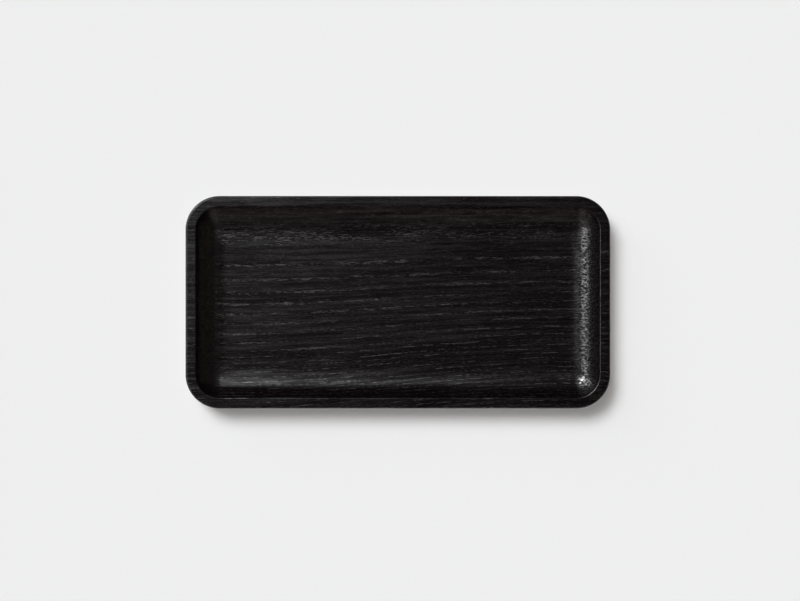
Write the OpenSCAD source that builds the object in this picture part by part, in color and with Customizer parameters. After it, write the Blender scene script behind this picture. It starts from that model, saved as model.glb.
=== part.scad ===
// Catchall tray milled from one solid board, standing on four inset non-slip feet.
// +Z is up, X runs along the grain, and the origin is under the middle of the tray
// on the surface that it stands on. All sizes are in millimetres.

/* [Tray] */
// Length of the tray over its outer walls, along the grain
tray_l = 200; // [140:1:320]
// Width of the tray over its outer walls, across the grain
tray_w = 100; // [80:1:200]
// Thickness of the board that the tray is milled from
board_t = 12; // [10:0.5:14]
// Width of the rim, from the outer wall to the pocket wall
rim_w = 5; // [3.5:0.25:10]

/* [Pocket] */
// Thickness of the wood left under the pocket
floor_t = 4.5; // [4:0.25:6]
// Radius of the pocket's corners, seen from above
pocket_corner_r = 11; // [10.5:0.25:16]
// Radius of the cove that runs from the pocket's floor up to the rim
cove_r = 11.5; // [8:0.25:11.5]

/* [Edges] */
// Rounding of the rim's outer edge
outer_edge_r = 1; // [0.4:0.1:2]
// Rounding of the rim's edge above the pocket
inner_edge_r = 0.6; // [0.4:0.1:1]
// Rounding of the edge round the underside
base_edge_r = 2; // [0.5:0.25:3]

/* [Feet] */
// Diameter of each foot
foot_d = 10; // [6:0.5:14]
// Thickness of each foot
foot_t = 2; // [1.5:0.25:3]
// Height that each foot stands proud of the underside
foot_proud = 1; // [0.5:0.25:1.25]
// Rounding of the edge that each foot stands on
foot_edge_r = 0.5; // [0.2:0.1:0.8]
// Distance from the outer walls to the middle of each foot
foot_inset = 18; // [14:0.5:30]
// Gap between each foot and the wall of its recess
foot_clearance = 0.15; // [0.1:0.05:0.4]

/* [Hidden] */
$fn = 96;

// The outer corners share their centres with the pocket's, so the rim keeps one width all round.
corner_r = pocket_corner_r + rim_w;
core_l = tray_l - 2 * corner_r;
core_w = tray_w - 2 * corner_r;
pocket_depth = board_t - floor_t;
// Least radius of the floor's corners, inside the cove
floor_corner_r = 0.2;
// The cove is at least as large as the pocket is deep, and keeps inside the pocket's corners.
cove_reach_max = pocket_corner_r - floor_corner_r;
cove_max = (pow(cove_reach_max, 2) + pow(pocket_depth, 2)) / (2 * pocket_depth);
cove = max(pocket_depth, min(cove_r, cove_max));
// Its arc leaves the floor level, and is still leaning outwards where it meets the rim.
cove_reach = sqrt(2 * cove * pocket_depth - pow(pocket_depth, 2));
cove_x = pocket_corner_r - cove_reach;
cove_z = floor_t + cove;
// The rounding of the mouth touches the rim and the cove.
mouth_z = board_t - inner_edge_r;
mouth_x = cove_x + sqrt(pow(cove + inner_edge_r, 2) - pow(cove_z - mouth_z, 2));
touch = cove / (cove + inner_edge_r);
touch_x = cove_x + touch * (mouth_x - cove_x);
touch_z = cove_z - touch * (cove_z - mouth_z);
recess_depth = foot_t - foot_proud;
recess_d = foot_d + 2 * foot_clearance;
// How far a cut runs past the face that it opens
overcut = 1;

front = -1;
rear = 1;
left = -1;
right = 1;

// Half section of the board, from a corner's centre out to the outer wall, with its edges rounded
module board_section() {
    difference() {
        square([corner_r, board_t]);
        translate([corner_r, board_t]) edge_waste(outer_edge_r);
        translate([corner_r, 0]) mirror([0, 1]) edge_waste(base_edge_r);
    }
}

// What a rounding of radius r takes off a square corner whose tip is at the origin
module edge_waste(r) {
    difference() {
        translate([-r, -r]) square(r + overcut);
        translate([-r, -r]) circle(r);
        translate([-r - overcut, -r - overcut]) square([overcut, r + 2 * overcut]);
    }
}

// Half section of the pocket: flat floor, cove and rounded mouth
module pocket_section() {
    // Floor out to the cove
    translate([0, floor_t]) square([cove_x, pocket_depth + overcut]);
    // Cove, up to where the rounding of the mouth begins
    intersection() {
        translate([cove_x, cove_z]) circle(cove);
        translate([cove_x, floor_t]) square([cove, touch_z - floor_t]);
    }
    // Mouth
    difference() {
        polygon([
            [cove_x, touch_z],
            [touch_x, touch_z],
            [mouth_x, board_t],
            [mouth_x, board_t + overcut],
            [cove_x, board_t + overcut]
        ]);
        translate([mouth_x, mouth_z]) circle(inner_edge_r);
    }
}

// Section of the floor and wall, which runs unbroken round the tray
module wall_section() {
    difference() {
        board_section();
        pocket_section();
    }
}

// Section swept round the four corners and along the four sides, with the floor inside
module milled_board() {
    for (quarter = [0:3]) {
        x_side = quarter == 0 || quarter == 3 ? right : left;
        y_side = quarter < 2 ? rear : front;
        translate([x_side * core_l / 2, y_side * core_w / 2])
            rotate(90 * quarter) rotate_extrude(angle = 90) wall_section();
    }
    for (turn = [0, 180]) rotate(turn) {
        translate([0, core_w / 2])
            rotate([90, 0, 90]) linear_extrude(core_l, center = true) wall_section();
        translate([core_l / 2, 0])
            rotate([90, 0, 0]) linear_extrude(core_w, center = true) wall_section();
    }
    translate([-core_l / 2, -core_w / 2]) cube([core_l, core_w, floor_t]);
}

// Moves what follows to the middle of one foot
module at_foot(y_side, x_side) {
    translate([x_side * (tray_l / 2 - foot_inset), y_side * (tray_w / 2 - foot_inset)])
        children();
}

module tray_body() {
    color([0.09, 0.085, 0.085]) translate([0, 0, foot_proud]) difference() {
        milled_board();
        for (y_side = [front, rear], x_side = [left, right])
            at_foot(y_side, x_side)
                translate([0, 0, -overcut]) cylinder(d = recess_d, h = recess_depth + overcut);
    }
}

// Half section of a foot: a flat disc whose lower edge is rounded
module foot_section() {
    square([foot_d / 2 - foot_edge_r, foot_t]);
    translate([0, foot_edge_r]) square([foot_d / 2, foot_t - foot_edge_r]);
    translate([foot_d / 2 - foot_edge_r, foot_edge_r]) circle(foot_edge_r);
}

module foot(y_side, x_side) {
    color([0.16, 0.16, 0.17]) at_foot(y_side, x_side) rotate_extrude() foot_section();
}

tray_body();
foot(front, left);  // foot_front_left
foot(front, right);  // foot_front_right
foot(rear, left);  // foot_rear_left
foot(rear, right);  // foot_rear_right
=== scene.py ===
import math

import bmesh
import bpy
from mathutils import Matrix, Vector


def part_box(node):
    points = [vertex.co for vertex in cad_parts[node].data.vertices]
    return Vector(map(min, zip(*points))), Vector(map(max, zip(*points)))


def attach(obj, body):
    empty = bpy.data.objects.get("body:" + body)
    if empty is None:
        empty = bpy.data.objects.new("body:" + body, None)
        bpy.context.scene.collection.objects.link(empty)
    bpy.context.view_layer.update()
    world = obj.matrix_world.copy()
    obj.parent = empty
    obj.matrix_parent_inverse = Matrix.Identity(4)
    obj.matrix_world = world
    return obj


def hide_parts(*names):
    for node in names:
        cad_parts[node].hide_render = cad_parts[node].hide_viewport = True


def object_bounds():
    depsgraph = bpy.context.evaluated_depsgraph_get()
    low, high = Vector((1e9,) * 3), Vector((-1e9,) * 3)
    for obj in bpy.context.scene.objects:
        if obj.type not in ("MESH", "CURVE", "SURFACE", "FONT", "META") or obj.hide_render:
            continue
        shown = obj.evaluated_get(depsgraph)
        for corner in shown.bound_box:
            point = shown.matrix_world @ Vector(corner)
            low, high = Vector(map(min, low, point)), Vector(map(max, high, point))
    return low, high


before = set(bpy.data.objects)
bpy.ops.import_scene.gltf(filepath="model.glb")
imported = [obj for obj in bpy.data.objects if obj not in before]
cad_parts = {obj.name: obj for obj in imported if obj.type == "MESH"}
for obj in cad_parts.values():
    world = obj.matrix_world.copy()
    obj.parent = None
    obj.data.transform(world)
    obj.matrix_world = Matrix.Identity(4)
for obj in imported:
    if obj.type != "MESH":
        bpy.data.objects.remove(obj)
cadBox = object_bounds()
scene = bpy.context.scene
scene.view_settings.view_transform = "Standard"
print("frame loaded:", ", ".join(sorted(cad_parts)))

millimetre = 0.001
quarterTurn = math.pi / 2


# Node helpers

def plug(tree, value, socket):
    if isinstance(value, bpy.types.NodeSocket):
        tree.links.new(value, socket)
    else:
        socket.default_value = value


def calc(tree, operation, *values):
    node = tree.nodes.new("ShaderNodeMath")
    node.operation = operation
    for value, socket in zip(values, node.inputs):
        plug(tree, value, socket)
    return node.outputs[0]


def remap(tree, value, fromLow, fromHigh, toLow=0.0, toHigh=1.0, smooth=True):
    node = tree.nodes.new("ShaderNodeMapRange")
    node.interpolation_type = "SMOOTHSTEP" if smooth else "LINEAR"
    for setting, socket in zip((value, fromLow, fromHigh, toLow, toHigh), node.inputs):
        plug(tree, setting, socket)
    return node.outputs[0]


def stretch(tree, position, along, across):
    # Features come out about this long along the grain and this wide across it
    node = tree.nodes.new("ShaderNodeVectorMath")
    node.operation = "DIVIDE"
    plug(tree, position, node.inputs[0])
    node.inputs[1].default_value = (along, across, across)
    return node.outputs[0]


def noise(tree, position, detail=2.0, roughness=0.5):
    # Runs from about -0.5 to 0.5
    node = tree.nodes.new("ShaderNodeTexNoise")
    plug(tree, position, node.inputs["Vector"])
    node.inputs["Scale"].default_value = 1.0
    node.inputs["Detail"].default_value = detail
    node.inputs["Roughness"].default_value = roughness
    return calc(tree, "SUBTRACT", node.outputs[0], 0.5)


def mixColours(tree, share, first, second):
    node = tree.nodes.new("ShaderNodeMix")
    node.data_type = "RGBA"
    plug(tree, share, node.inputs[0])
    plug(tree, first, node.inputs[6])
    plug(tree, second, node.inputs[7])
    return node.outputs[2]


def readLayer(tree, layer):
    node = tree.nodes.new("ShaderNodeAttribute")
    node.attribute_name = layer
    return node.outputs["Fac"]


def newMaterial(name):
    material = bpy.data.materials.new(name)
    material.use_nodes = True
    tree = material.node_tree
    shader = tree.nodes["Principled BSDF"]
    coordinates = tree.nodes.new("ShaderNodeTexCoord")
    inMillimetres = tree.nodes.new("ShaderNodeVectorMath")
    inMillimetres.operation = "SCALE"
    inMillimetres.inputs["Scale"].default_value = 1 / millimetre
    tree.links.new(coordinates.outputs["Object"], inMillimetres.inputs[0])
    return material, tree, shader, inMillimetres.outputs[0]


# Ring-porous grain of one flat-sawn board, drawn in 3D so that the end grain follows from it

ashGrain = {
    "heartAcross": 37.3,            # where the heart of the log lies, in millimetres
    "heartHeight": -34.5,
    "ringWidth": 3.16,
    "narrowFrom": 70.0,             # rings further out than this are narrower
    "narrowGain": 0.2,
    "ringStart": 0.26,
    "climbFrom": -80.0,             # the figure climbs between these two places along the tray
    "climbTo": 80.0,
    "climbRear": 1.8,               # by this much at the rear of the floor
    "climbFront": 10.4,             # and by this much at its front
    "climbEdge": 38.0,              # which lie this far from its middle
    "waver": 1.2,
    "waverSize": (60.0, 22.0),      # sizes are along and across the grain
    "ringUneven": 0.3,
    "unevenScale": 0.6,
    "ragged": 0.34,
    "raggedSize": (12.0, 1.2),
    "earlyShare": 0.30,             # of each ring, open-pored
    "earlyOnset": 0.06,             # the pores begin within this share
    "earlyFade": 0.10,              # and thin out from here on
    "bandSize": (26.0, 2.6),        # stretches with many pores or few
    "bandSwing": 0.15,
    "bandLeast": 0.2,
    "heartFigure": 0.45,            # what the figure keeps of its strength over the heart
    "heartFigureLeft": 0.9,         # and in front of it at the left
    "heartLeft": -50.0,
    "heartRight": 30.0,
    "heartFront": -3.0,
    "heartNear": 2.0,
    "heartFar": 16.0,
    "vesselLong": (5.5, 0.42),
    "vesselShort": (2.4, 0.34),
    "poreSmall": 0.20,
    "poreLarge": 0.52,
    "poreEdge": 0.14,
    # painted shade on a strip beside each vessel, towards the rear
    "vesselShadeWidth": 0.5,                # dark side of a cut vessel
    "fibreSize": (13.0, 0.5),
    "streakSize": (45.0, 1.6),
    "speckSize": (1.5, 0.62),
}


def cutVessels(tree, place, poreSize):
    poreCore = calc(tree, "SUBTRACT", poreSize, ashGrain["poreEdge"])
    pores = 0.0
    for vesselSize in (ashGrain["vesselLong"], ashGrain["vesselShort"]):
        vessels = tree.nodes.new("ShaderNodeTexVoronoi")
        vessels.inputs["Scale"].default_value = 1.0
        plug(tree, stretch(tree, place, *vesselSize), vessels.inputs["Vector"])
        inside = remap(tree, vessels.outputs["Distance"], poreSize, poreCore)
        pores = calc(tree, "MAXIMUM", pores, inside)
    return pores


def makeGrainGroup():
    tree = bpy.data.node_groups.new("ashGrain", "ShaderNodeTree")
    tree.interface.new_socket(name="Position", in_out="INPUT", socket_type="NodeSocketVector")
    for name in ("Early", "Pores", "Lee", "Fibre", "Speck"):
        tree.interface.new_socket(name=name, in_out="OUTPUT", socket_type="NodeSocketFloat")
    entry = tree.nodes.new("NodeGroupInput")
    leave = tree.nodes.new("NodeGroupOutput")
    position = entry.outputs["Position"]
    split = tree.nodes.new("ShaderNodeSeparateXYZ")
    tree.links.new(position, split.inputs[0])
    along, across, height = split.outputs

    # The figure drifts across the board along its length, and wavers
    climbShare = remap(tree, along, ashGrain["climbFrom"], ashGrain["climbTo"], -0.5, 0.5)
    climbReach = remap(tree, across, ashGrain["climbEdge"], -ashGrain["climbEdge"],
                       ashGrain["climbRear"], ashGrain["climbFront"], smooth=False)
    climb = calc(tree, "MULTIPLY", climbShare, climbReach)
    wavering = noise(tree, stretch(tree, position, *ashGrain["waverSize"]))
    waver = calc(tree, "MULTIPLY", wavering, ashGrain["waver"])
    drift = calc(tree, "ADD", climb, waver)
    straightened = calc(tree, "SUBTRACT", across, drift)

    # Growth rings round the heart
    offAcross = calc(tree, "SUBTRACT", straightened, ashGrain["heartAcross"])
    offHeight = calc(tree, "SUBTRACT", height, ashGrain["heartHeight"])
    squared = calc(tree, "ADD", calc(tree, "POWER", offAcross, 2.0), calc(tree, "POWER", offHeight, 2.0))
    radius = calc(tree, "SQRT", squared)
    beyond = calc(tree, "MAXIMUM", calc(tree, "SUBTRACT", radius, ashGrain["narrowFrom"]), 0.0)
    rings = calc(tree, "MULTIPLY_ADD", radius, 1 / ashGrain["ringWidth"], ashGrain["ringStart"])
    rings = calc(tree, "MULTIPLY_ADD", beyond, ashGrain["narrowGain"], rings)
    yearly = tree.nodes.new("ShaderNodeTexNoise")
    yearly.noise_dimensions = "1D"
    yearly.inputs["Scale"].default_value = ashGrain["unevenScale"]
    yearly.inputs["Detail"].default_value = 1.0
    tree.links.new(rings, yearly.inputs["W"])
    uneven = calc(tree, "SUBTRACT", yearly.outputs[0], 0.5)
    rings = calc(tree, "MULTIPLY_ADD", uneven, ashGrain["ringUneven"], rings)
    raggedness = noise(tree, stretch(tree, position, *ashGrain["raggedSize"]), detail=3.0)
    rings = calc(tree, "MULTIPLY_ADD", raggedness, ashGrain["ragged"], rings)
    phase = calc(tree, "FRACT", rings)
    onset = remap(tree, phase, 0.0, ashGrain["earlyOnset"])
    fade = remap(tree, phase, ashGrain["earlyShare"], ashGrain["earlyFade"])
    band = noise(tree, stretch(tree, position, *ashGrain["bandSize"]))
    strength = remap(tree, band, -ashGrain["bandSwing"], ashGrain["bandSwing"], ashGrain["bandLeast"])

    # Where the cut runs along a ring, over the heart, the figure is plainer, but less so at the left
    plainest = remap(tree, along, ashGrain["heartLeft"], ashGrain["heartRight"],
                     ashGrain["heartFigureLeft"], ashGrain["heartFigure"])
    plainest = remap(tree, offAcross, ashGrain["heartFront"], 0.0, plainest, ashGrain["heartFigure"])
    fromHeart = calc(tree, "ABSOLUTE", offAcross)
    plain = remap(tree, fromHeart, ashGrain["heartNear"], ashGrain["heartFar"], plainest)
    strength = calc(tree, "MULTIPLY", strength, plain)
    early = calc(tree, "MULTIPLY", calc(tree, "MULTIPLY", onset, fade), strength)

    # Vessels, cut lengthwise on the faces and across on the end grain
    joined = tree.nodes.new("ShaderNodeCombineXYZ")
    plug(tree, along, joined.inputs[0])
    plug(tree, straightened, joined.inputs[1])
    plug(tree, height, joined.inputs[2])
    place = joined.outputs[0]
    poreSize = remap(tree, early, 0.0, 1.0, ashGrain["poreSmall"], ashGrain["poreLarge"], smooth=False)
    pores = cutVessels(tree, place, poreSize)
    # A strip beside each vessel, towards the rear, carries painted shade for the groove's shaded wall
    beside = tree.nodes.new("ShaderNodeVectorMath")
    beside.operation = "SUBTRACT"
    plug(tree, place, beside.inputs[0])
    beside.inputs[1].default_value = (0.0, ashGrain["vesselShadeWidth"], 0.0)
    vesselShade = cutVessels(tree, beside.outputs[0], poreSize)
    vesselShade = calc(tree, "MULTIPLY", vesselShade, calc(tree, "SUBTRACT", 1.0, pores))

    # Fibres and longer streaks, and specks for what the cutter tore
    fibre = noise(tree, stretch(tree, place, *ashGrain["fibreSize"]), detail=3.0, roughness=0.6)
    streak = noise(tree, stretch(tree, place, *ashGrain["streakSize"]))
    fibre = calc(tree, "ADD", fibre, streak)
    speck = noise(tree, stretch(tree, place, *ashGrain["speckSize"]))

    plug(tree, early, leave.inputs["Early"])
    plug(tree, pores, leave.inputs["Pores"])
    plug(tree, vesselShade, leave.inputs["Lee"])
    plug(tree, fibre, leave.inputs["Fibre"])
    plug(tree, speck, leave.inputs["Speck"])
    return tree


# Black stain under an oil film

stainedAshFinish = {
    "late": (0.0026, 0.0014, 0.0018, 1.0),
    "early": (0.0046, 0.0033, 0.0038, 1.0),
    "pore": (0.0190, 0.0166, 0.0176, 1.0),
    # painted shade inside open vessels seen end-on
    "shadedEndPore": (0.0012, 0.0008, 0.0008, 1.0),
    "endsFrom": 0.05,               # how squarely the grain is cut where end grain begins to show
    "endsTo": 0.25,                 # and where it shows alone
    "roughness": 0.27,
    "poreRoughness": 0.12,
    "fibreRoughness": 0.10,
    "specular": 0.14,
    "oil": 0.110,
    "oilOnPores": 0.75,
    "oilOnFibre": 0.85,
    # coat taken off beside each vessel, a painted shade of the groove wall
    "oilOffVesselShade": 0.28,
    "oilPatchy": 0.6,               # share by which it varies from speck to speck
    "patchSwing": 0.2,
    "oilOnEnds": 0.51,
    "oilOffEndPores": 0.6,
    "glintSwing": (-0.08, 0.16),
    "glintShare": (0.05, 2.5),
    "glintUntorn": 0.85,
    # coat raised in the cove's corners, a painted highlight
    "cornerHighlightGain": 4.0,
    "cornerReach": 20.0,            # millimetres from the middle towards the front
    "oilRoughness": 0.28,
    "oilIndex": 1.8,
    "grooveDepth": 0.06 * millimetre,
    "fibreRelief": 0.4,
    "faceRelief": 1.2,
    "endRelief": 14.0,
    "tornReach": 60.0,              # millimetres from the middle towards the right
    "tornElsewhere": 0.2,
}


def makeStainedAsh(grainGroup):
    finish = stainedAshFinish
    material, tree, shader, position = newMaterial("stainedAsh")
    grain = tree.nodes.new("ShaderNodeGroup")
    grain.node_tree = grainGroup
    plug(tree, position, grain.inputs["Position"])
    early = grain.outputs["Early"]
    pores = grain.outputs["Pores"]
    vesselShade = grain.outputs["Lee"]
    fibre = grain.outputs["Fibre"]
    speck = grain.outputs["Speck"]
    split = tree.nodes.new("ShaderNodeSeparateXYZ")
    plug(tree, position, split.inputs[0])
    along = split.outputs["X"]
    across = split.outputs["Y"]

    # Vessels show light where they are cut lengthwise; where one looks into them, on the end grain,
    # their colour is a painted shade
    ends = remap(tree, readLayer(tree, "endGrain"), finish["endsFrom"], finish["endsTo"])
    poreColour = mixColours(tree, ends, finish["pore"], finish["shadedEndPore"])
    earlyColour = mixColours(tree, ends, finish["early"], finish["late"])
    ground = mixColours(tree, early, finish["late"], earlyColour)
    colour = mixColours(tree, pores, ground, poreColour)
    plug(tree, colour, shader.inputs["Base Color"])
    shader.inputs["Specular IOR Level"].default_value = finish["specular"]

    rough = calc(tree, "MULTIPLY_ADD", pores, finish["poreRoughness"], finish["roughness"])
    rough = calc(tree, "MULTIPLY_ADD", fibre, finish["fibreRoughness"], rough)
    plug(tree, rough, shader.inputs["Roughness"])

    # On the faces oil stands thicker on raised fibres and vessel edges
    faceOil = calc(tree, "MULTIPLY_ADD", pores, finish["oilOnPores"], finish["oil"])
    faceOil = calc(tree, "MULTIPLY_ADD", fibre, finish["oilOnFibre"], faceOil)
    # Painted shade: less oil on the strip beside each vessel, for the groove's shaded wall
    faceOil = calc(tree, "MULTIPLY_ADD", vesselShade, -finish["oilOffVesselShade"], faceOil)
    patches = remap(tree, speck, -finish["patchSwing"], finish["patchSwing"],
                    1 - finish["oilPatchy"], 1 + finish["oilPatchy"], smooth=False)
    faceOil = calc(tree, "MULTIPLY", faceOil, patches)

    # The pocket's cutter tore the end grain most where it left the wood, on the right
    elsewhere = finish["tornElsewhere"]
    tornShare = remap(tree, along, -finish["tornReach"], finish["tornReach"], elsewhere)
    tornShare = remap(tree, readLayer(tree, "pocketSide"), 0.0, 1.0, elsewhere, tornShare, smooth=False)

    # On the end grain oil glints on the torn fibres
    closed = calc(tree, "SUBTRACT", 1.0, calc(tree, "MULTIPLY", pores, finish["oilOffEndPores"]))
    glint = remap(tree, speck, *finish["glintSwing"], *finish["glintShare"])
    glint = remap(tree, tornShare, 0.0, 1.0, finish["glintUntorn"], glint, smooth=False)
    endOil = calc(tree, "MULTIPLY", calc(tree, "MULTIPLY", closed, glint), finish["oilOnEnds"])
    oil = remap(tree, ends, 0.0, 1.0, faceOil, endOil, smooth=False)

    # Painted highlight: the coat is raised in the corners of the cove, most of all in the front right
    # one, to brighten the highlight there
    frontShare = remap(tree, across, finish["cornerReach"], -finish["cornerReach"])
    cornerHighlightShare = calc(tree, "MULTIPLY", tornShare, frontShare)
    cornerHighlight = calc(tree, "MULTIPLY", readLayer(tree, "coveCorner"), cornerHighlightShare)
    highlightGain = calc(tree, "MULTIPLY_ADD", cornerHighlight, finish["cornerHighlightGain"], 1.0)
    oil = calc(tree, "MULTIPLY", oil, highlightGain)
    plug(tree, calc(tree, "MAXIMUM", oil, 0.0), shader.inputs["Coat Weight"])
    shader.inputs["Coat Roughness"].default_value = finish["oilRoughness"]
    shader.inputs["Coat IOR"].default_value = finish["oilIndex"]

    # Grooves of the vessels, raised fibres and torn end grain
    faceRelief = calc(tree, "SUBTRACT", calc(tree, "MULTIPLY", fibre, finish["fibreRelief"]), pores)
    endRelief = calc(tree, "MULTIPLY", tornShare, finish["endRelief"])
    tear = remap(tree, ends, 0.0, 1.0, finish["faceRelief"], endRelief, smooth=False)
    torn = calc(tree, "MULTIPLY", speck, tear)
    relief = calc(tree, "ADD", faceRelief, torn)
    bump = tree.nodes.new("ShaderNodeBump")
    bump.inputs["Strength"].default_value = 1.0
    bump.inputs["Distance"].default_value = finish["grooveDepth"]
    plug(tree, relief, bump.inputs["Height"])
    plug(tree, bump.outputs[0], shader.inputs["Normal"])
    return material


footRubberFinish = {
    "colour": (0.028, 0.028, 0.030, 1.0),
    "roughness": 0.75,
    "speckleSize": 0.35,
    "speckleRoughness": 0.25,
    "speckleDepth": 0.05 * millimetre,
}


def makeFootRubber():
    finish = footRubberFinish
    material, tree, shader, position = newMaterial("footRubber")
    speckle = noise(tree, stretch(tree, position, finish["speckleSize"], finish["speckleSize"]))
    shader.inputs["Base Color"].default_value = finish["colour"]
    rough = calc(tree, "MULTIPLY", speckle, finish["speckleRoughness"])
    plug(tree, calc(tree, "ADD", finish["roughness"], rough), shader.inputs["Roughness"])
    bump = tree.nodes.new("ShaderNodeBump")
    bump.inputs["Distance"].default_value = finish["speckleDepth"]
    plug(tree, speckle, bump.inputs["Height"])
    plug(tree, bump.outputs[0], shader.inputs["Normal"])
    return material


stainedAsh = makeStainedAsh(makeGrainGroup())
footRubber = makeFootRubber()
print("finishes made: stained ash, foot rubber")


# Mesh helpers

def onlyEdges(geom):
    return [item for item in geom if isinstance(item, bmesh.types.BMEdge)]


def onlyVerts(geom):
    return [item for item in geom if isinstance(item, bmesh.types.BMVert)]


def drawLine(bm, tip, out, up):
    grown = bmesh.ops.extrude_vert_indiv(bm, verts=[tip])["verts"][0]
    grown.co = (out, 0.0, up)
    return grown


def drawArc(bm, tip, out, up, angle, steps):
    # Runs from the tip round this centre
    turned = bmesh.ops.spin(bm, geom=[tip], cent=(out, 0.0, up), axis=(0, 1, 0),
                            angle=angle, steps=steps)
    return onlyVerts(turned["geom_last"])[0]


meshFinish = {
    "mergeWithin": 0.001 * millimetre,
    "sharpFrom": math.radians(40),
    "flatWeight": 100,              # large flat faces keep their own shading
    "cornerGain": 4,
    "cornerFocus": 4,               # keeps a corner's share near the foot of the cove
}


def mergeDoubles(bm):
    bmesh.ops.remove_doubles(bm, verts=bm.verts[:], dist=meshFinish["mergeWithin"])


def markCuts(bm, coveTop):
    # How squarely each place cuts the grain, the pocket's end walls, and the cove's bends at the corners
    endLayer = bm.loops.layers.float.new("endGrain")
    pocketLayer = bm.loops.layers.float.new("pocketSide")
    cornerLayer = bm.loops.layers.float.new("coveCorner")
    for face in bm.faces:
        for loop in face.loops:
            creased = any(not edge.smooth for edge in loop.vert.link_edges)
            normal = face.normal if creased else loop.vert.normal
            spot = loop.vert.co
            endWall = normal.x * spot.x < 0 and spot.z < coveTop
            loop[endLayer] = abs(normal.x)
            loop[pocketLayer] = 1.0 if endWall else 0.0
            if endWall and normal.y * spot.y < 0 and normal.z > 0:
                bend = abs(normal.x * normal.y) * normal.z ** meshFinish["cornerFocus"]
                loop[cornerLayer] = meshFinish["cornerGain"] * bend


def finishPiece(name, bm, material, node, coveTop=0.0):
    mergeDoubles(bm)
    bmesh.ops.recalc_face_normals(bm, faces=bm.faces[:])
    for face in bm.faces:
        face.smooth = True
    for edge in bm.edges:
        edge.smooth = edge.calc_face_angle(0.0) < meshFinish["sharpFrom"]
    bm.normal_update()
    markCuts(bm, coveTop)
    mesh = bpy.data.meshes.new(name)
    bm.to_mesh(mesh)
    bm.free()
    mesh.materials.append(material)
    piece = bpy.data.objects.new(name, mesh)
    scene.collection.objects.link(piece)
    weighted = piece.modifiers.new("flatFacesStayFlat", "WEIGHTED_NORMAL")
    weighted.keep_sharp = True
    weighted.weight = meshFinish["flatWeight"]
    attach(piece, "root")
    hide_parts(node)
    print("piece made:", name, len(mesh.polygons), "faces")


# Tray body: one wall section run round the corners and along the sides

trayBody = {
    "rimWidth": 5.0 * millimetre,
    "pocketCorner": 11.0 * millimetre,
    "floorThickness": 4.5 * millimetre,
    "coveRadius": 11.0 * millimetre,
    "outerEdge": 1.0 * millimetre,
    "innerEdge": 0.6 * millimetre,
    "footSlope": math.radians(10),  # sanding has eased the cove into the floor
    "footDrop": 0.32 * millimetre,
    "footRing": 1.3 * millimetre,   # each ring nearer the middle drops by less
    "footRingDrops": (0.09 * millimetre, 0.04 * millimetre, 0.012 * millimetre),
    "baseEdge": 2.0 * millimetre,
    "footGap": 0.15 * millimetre,
    "recessSteps": 64,
    "cornerSteps": 32,
    "sideStep": 8.4 * millimetre,
    "coveSteps": 24,
    "edgeSteps": 8,
}

footNodes = ("foot_front_left", "foot_front_right", "foot_rear_left", "foot_rear_right")


def footPlace(node):
    low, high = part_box(node)
    return (low + high) / 2, (high.x - low.x) / 2, low.z, high.z


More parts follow.
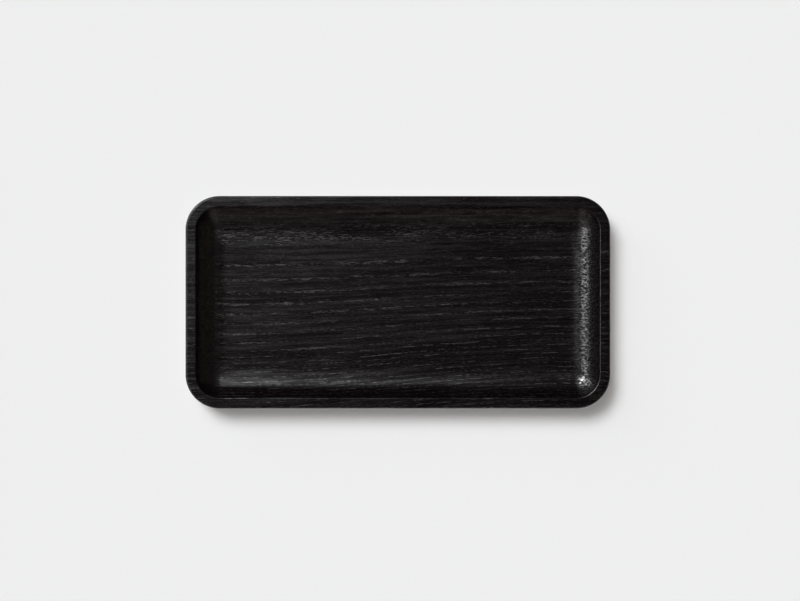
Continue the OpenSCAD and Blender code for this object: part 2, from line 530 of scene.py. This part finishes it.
def makeTrayBody():
    low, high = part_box("tray_body")
    inner = trayBody["pocketCorner"]
    outer = inner + trayBody["rimWidth"]
    floorTop = low.z + trayBody["floorThickness"]
    centreX = high.x - outer
    centreY = high.y - outer
    edgeSteps = trayBody["edgeSteps"]

    # The cove rises out of its eased foot and still leans outwards where the rounded mouth begins
    cove = trayBody["coveRadius"]
    footSlope = trayBody["footSlope"]
    footTop = floorTop + trayBody["footDrop"] + sum(trayBody["footRingDrops"])
    coveUp = footTop + cove * math.cos(footSlope)
    coveOut = inner - math.sqrt(cove ** 2 - (coveUp - high.z) ** 2)
    base = trayBody["baseEdge"]
    rimEdge = trayBody["outerEdge"]
    mouth = trayBody["innerEdge"]
    mouthUp = high.z - mouth
    lean = math.acos((coveUp - mouthUp) / (cove + mouth))
    mouthOut = coveOut + (cove + mouth) * math.sin(lean)

    bm = bmesh.new()
    tip = bm.verts.new((inner, 0.0, low.z))
    tip = drawLine(bm, tip, outer - base, low.z)
    tip = drawArc(bm, tip, outer - base, low.z + base, -quarterTurn, edgeSteps)
    tip = drawLine(bm, tip, outer, high.z - rimEdge)
    tip = drawArc(bm, tip, outer - rimEdge, high.z - rimEdge, -quarterTurn, edgeSteps)
    tip = drawLine(bm, tip, mouthOut, high.z)
    tip = drawArc(bm, tip, mouthOut, mouthUp, -lean, edgeSteps)
    tip = drawArc(bm, tip, coveOut, coveUp, lean - footSlope, trayBody["coveSteps"])
    drawLine(bm, tip, 0.0, footTop - trayBody["footDrop"])
    bmesh.ops.translate(bm, verts=bm.verts[:], vec=(centreX, centreY, 0.0))

    # Round each corner, then along the side to the next one
    corners = [(1, 1), (-1, 1), (-1, -1), (1, -1)]
    travels = [(-2 * centreX, 0, 0), (0, -2 * centreY, 0), (2 * centreX, 0, 0), (0, 2 * centreY, 0)]
    leading = bm.verts[:] + bm.edges[:]
    for (sideX, sideY), travel in zip(corners, travels):
        turned = bmesh.ops.spin(bm, geom=leading, cent=(sideX * centreX, sideY * centreY, 0.0),
                                axis=(0, 0, 1), angle=quarterTurn, steps=trayBody["cornerSteps"])
        leading = turned["geom_last"]
        sideSteps = round(Vector(travel).length / trayBody["sideStep"])
        for _ in range(sideSteps):
            leading = bmesh.ops.extrude_edge_only(bm, edges=onlyEdges(leading))["geom"]
            bmesh.ops.translate(bm, verts=onlyVerts(leading), vec=Vector(travel) / sideSteps)
        leading = onlyVerts(leading) + onlyEdges(leading)
    mergeDoubles(bm)

    # Floor of the pocket inside the swept wall, let down in rings that carry on the cove's eased foot
    openEdges = [edge for edge in bm.edges if edge.is_boundary]
    floorEdges = [edge for edge in openEdges if edge.verts[0].co.z > (low.z + floorTop) / 2]
    floorFace = bmesh.ops.contextual_create(bm, geom=floorEdges)["faces"]
    bmesh.ops.recalc_face_normals(bm, faces=bm.faces[:])
    for drop in trayBody["footRingDrops"]:
        bmesh.ops.inset_region(bm, faces=floorFace, thickness=trayBody["footRing"], depth=-drop,
                               use_even_offset=True)

    # Underside, with a recess for each foot
    underEdges = [edge for edge in openEdges if edge not in floorEdges]
    recesses = []
    for node in footNodes:
        centre, radius, _, top = footPlace(node)
        ring = bmesh.ops.create_circle(bm, segments=trayBody["recessSteps"],
                                       radius=radius + trayBody["footGap"])
        bmesh.ops.translate(bm, verts=ring["verts"], vec=(centre.x, centre.y, low.z))
        ringEdges = list({edge for vert in ring["verts"] for edge in vert.link_edges})
        recesses.append((ringEdges, top - low.z))
        underEdges += ringEdges
    bmesh.ops.triangle_fill(bm, edges=underEdges, use_beauty=True)
    for ringEdges, depth in recesses:
        wall = bmesh.ops.extrude_edge_only(bm, edges=ringEdges)["geom"]
        bmesh.ops.translate(bm, verts=onlyVerts(wall), vec=(0, 0, depth))
        bmesh.ops.contextual_create(bm, geom=onlyEdges(wall))
    finishPiece("trayBody", bm, stainedAsh, "tray_body", mouthUp)


makeTrayBody()


# Feet: rubber discs, each seated in its recess

footDisc = {
    "edge": 0.5 * millimetre,
    "steps": 64,
    "edgeSteps": 6,
}


def makeFoot(node):
    centre, radius, bottom, top = footPlace(node)
    edge = footDisc["edge"]
    bm = bmesh.new()
    tip = bm.verts.new((0.0, 0.0, bottom))
    tip = drawLine(bm, tip, radius - edge, bottom)
    tip = drawArc(bm, tip, radius - edge, bottom + edge, -quarterTurn, footDisc["edgeSteps"])
    tip = drawLine(bm, tip, radius, top)
    drawLine(bm, tip, 0.0, top)
    bmesh.ops.spin(bm, geom=bm.verts[:] + bm.edges[:], cent=(0, 0, 0), axis=(0, 0, 1),
                   angle=4 * quarterTurn, steps=footDisc["steps"], use_merge=True)
    bmesh.ops.translate(bm, verts=bm.verts[:], vec=(centre.x, centre.y, 0.0))
    name = "rubber" + "".join(word.capitalize() for word in node.split("_"))
    finishPiece(name, bm, footRubber, node)


for footNode in footNodes:
    makeFoot(footNode)


# Floor and surroundings

studio = {
    "floorColour": (0.880, 0.880, 0.880, 1.0),
    "floorSize": 6.0,               # metres
    "ambient": 0.001,
}


def makeFloor():
    bm = bmesh.new()
    bmesh.ops.create_grid(bm, x_segments=1, y_segments=1, size=studio["floorSize"] / 2)
    mesh = bpy.data.meshes.new("studioFloor")
    bm.to_mesh(mesh)
    bm.free()
    material = bpy.data.materials.new("palePaper")
    material.use_nodes = True
    shader = material.node_tree.nodes["Principled BSDF"]
    shader.inputs["Base Color"].default_value = studio["floorColour"]
    shader.inputs["Roughness"].default_value = 1.0
    shader.inputs["Specular IOR Level"].default_value = 0.0
    mesh.materials.append(material)
    floor = bpy.data.objects.new("studioFloor", mesh)
    scene.collection.objects.link(floor)


def makeSurroundings():
    # Past the floor's edge the camera sees the floor's own tone
    world = bpy.data.worlds.new("studioWorld")
    scene.world = world
    world.use_nodes = True
    tree = world.node_tree
    background = tree.nodes["Background"]
    background.inputs["Color"].default_value = (1.0, 1.0, 1.0, 1.0)
    seen = tree.nodes.new("ShaderNodeLightPath").outputs["Is Camera Ray"]
    paleLevel = studio["floorColour"][0]
    strength = remap(tree, seen, 0.0, 1.0, studio["ambient"], paleLevel, smooth=False)
    plug(tree, strength, background.inputs["Strength"])


makeFloor()
makeSurroundings()


# Lights, with lean from overhead, bearing from the left towards the rear, and share of the floor's light

plainWhite = (1.0, 1.0, 1.0)
coolDaylight = (0.98, 1.0, 1.02)
warmBounce = (1.0, 0.84, 0.80)
yellowBounce = (1.0, 0.92, 0.66)
lights = {
    "window": {"lean": 38.0, "bearing": 53.0, "share": 0.223, "softness": 25.0,
               "colour": coolDaylight},
    "windowLeft": {"lean": 38.0, "bearing": 44.0, "share": 0.222, "softness": 25.0,
                   "colour": coolDaylight},
    "windowTop": {"lean": 30.0, "bearing": 56.0, "share": 0.145, "softness": 25.0},
    "overhead": {"lean": 17.0, "bearing": 46.0, "share": 0.052, "softness": 14.0},
    "rearFill": {"lean": 43.0, "bearing": 74.0, "share": 0.042, "softness": 14.0},
    "lowSide": {"lean": 66.0, "bearing": 38.0, "share": 0.041, "softness": 30.0},
    "side": {"lean": 37.0, "bearing": 0.0, "share": 0.173, "softness": 32.0, "shadow": False},
    "frontFill": {"lean": 42.0, "bearing": 275.0, "share": 0.024, "softness": 50.0, "shadow": False},
    "frontBounce": {"lean": 74.0, "bearing": 278.0, "share": 0.043, "softness": 80.0, "shadow": False,
                    "colour": warmBounce},
    "rightBounce": {"lean": 66.0, "bearing": 180.0, "share": 0.012, "softness": 70.0, "shadow": False,
                    "colour": yellowBounce},
}


def makeLight(name, values):
    lean = math.radians(values["lean"])
    bearing = math.radians(values["bearing"])
    fromWhere = Vector((
        -math.sin(lean) * math.cos(bearing),
        math.sin(lean) * math.sin(bearing),
        math.cos(lean),
    ))
    lamp = bpy.data.lights.new(name, "SUN")
    lamp.angle = math.radians(values["softness"])
    lamp.energy = values["share"] * math.pi / math.cos(lean)
    lamp.color = values.get("colour", plainWhite)
    lamp.use_shadow = values.get("shadow", True)
    # Fill light that is sampled from the surface as well would be shaded after all
    lamp.cycles.use_multiple_importance_sampling = lamp.use_shadow
    light = bpy.data.objects.new(name, lamp)
    light.location = fromWhere
    light.rotation_euler = fromWhere.to_track_quat("Z", "Y").to_euler()
    scene.collection.objects.link(light)


for lightName, lightValues in lights.items():
    makeLight(lightName, lightValues)
print("studio made:", len(lights), "lights")


# Camera, straight above

camera = {
    "above": 0.75,                  # metres over the rim
    "sensor": 36.0,
    "imageWidth": 800,
    "imageHeight": 601,
    "trayPixels": 425.3,            # how long the tray shows in the image
    "trayMiddle": (397.88, 302.2),
}


def makeCamera():
    low, high = cadBox
    middleX, middleY = camera["trayMiddle"]
    perPixel = (high[0] - low[0]) / camera["trayPixels"]
    viewWidth = perPixel * camera["imageWidth"]
    lens = bpy.data.cameras.new("camera")
    lens.sensor_width = camera["sensor"]
    lens.lens = camera["sensor"] * camera["above"] / viewWidth
    eye = bpy.data.objects.new("camera", lens)
    eye.location = (
        (camera["imageWidth"] / 2 - middleX) * perPixel,
        (middleY - camera["imageHeight"] / 2) * perPixel,
        high[2] + camera["above"],
    )
    scene.collection.objects.link(eye)
    scene.camera = eye


makeCamera()
print("camera set:", camera["above"], "m over the rim")
